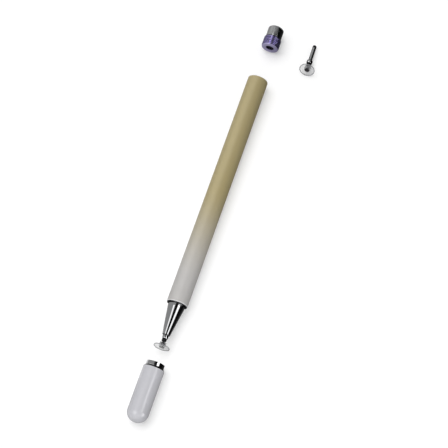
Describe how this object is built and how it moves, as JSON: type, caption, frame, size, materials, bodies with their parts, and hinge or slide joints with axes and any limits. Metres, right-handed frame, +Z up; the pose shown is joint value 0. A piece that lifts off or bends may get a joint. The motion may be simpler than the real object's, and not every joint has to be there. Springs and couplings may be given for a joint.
{
  "type": "stylus pen",
  "caption": "Touch-screen stylus pen with a tilting clear disc tip, a pull-off cap, a tail plug that keeps a spare tip, and the spare tip laid out beside it.",
  "frame": {"origin": "on the pen's axis, halfway along the barrel tube", "axes": "+Y along the axis towards the tail, +Z up from the surface that the pieces lie on, +X towards the spare tip"},
  "size_m": [0.0268, 0.1872, 0.009],
  "materials": {
    "painted_barrel": "satin lacquer fading from khaki at the tail to pale grey at the front",
    "painted_cap": "satin lacquer, pale lilac grey",
    "chrome": "polished plating",
    "black_nickel": "polished dark plating",
    "brass": "turned",
    "magnet": "dull sintered",
    "black_rubber": "matte",
    "black_nylon": "satin",
    "grey_hub": "smoky, slightly clear",
    "clear_disc": "clear, polished",
    "contact_pad": "matte, conductive",
    "violet_plating": "violet anodised, satin"
  },
  "bodies": {
    "barrel": {"barrel_tube": "painted_barrel", "front_ring": "black_nickel", "nose_cone": "chrome", "nose_base": "brass", "front_magnet": "magnet", "tip_bush": "brass", "spare_sleeve": "black_rubber", "spare_stem": "chrome", "spare_collar": "chrome", "spare_ball": "black_nylon"},
    "cap": {"cap_shell": "painted_cap", "cap_collar": "chrome"},
    "tail_plug": {"plug_stub": "chrome", "plug_sleeve": "violet_plating", "plug_magnet": "magnet", "plug_grip": "black_rubber"},
    "tip_grip": {"tip_sleeve": "black_rubber"},
    "tip_rod": {"tip_stem": "chrome", "tip_collar": "chrome", "tip_ball": "black_nylon"},
    "tip_foot": {"tip_hub": "grey_hub", "tip_disc": "clear_disc", "tip_contact": "contact_pad"},
    "spare_foot": {"spare_hub": "grey_hub", "spare_disc": "clear_disc", "spare_contact": "contact_pad"}
  },
  "joints": [
    {"name": "cap_slide", "type": "slide", "parent": "barrel", "child": "cap", "axis": [0, 1, 0], "range_m": [0, 0.0278]},
    {"name": "plug_slide", "type": "slide", "parent": "barrel", "child": "tail_plug", "axis": [0, -1, 0], "range_m": [0, 0.0238]},
    {"name": "tip_pull", "type": "slide", "parent": "barrel", "child": "tip_grip", "axis": [0, 1, 0], "range_m": [-0.015, 0]},
    {"name": "tip_turn", "type": "hinge", "parent": "tip_grip", "child": "tip_rod", "pos_m": [0, -0.07195, 0], "axis": [0, 1, 0], "continuous": true},
    {"name": "tip_tilt", "type": "hinge", "parent": "tip_rod", "child": "tip_foot", "pos_m": [0, -0.07195, 0], "axis": [1, 0, 0], "range_deg": [-15, 29]},
    {"name": "spare_tilt", "type": "hinge", "parent": "barrel", "child": "spare_foot", "pos_m": [0.0188, 0.068, -0.0017], "axis": [-0.0041, 0.1578, 0.9875], "range_deg": [-19, 19]}
  ]
}
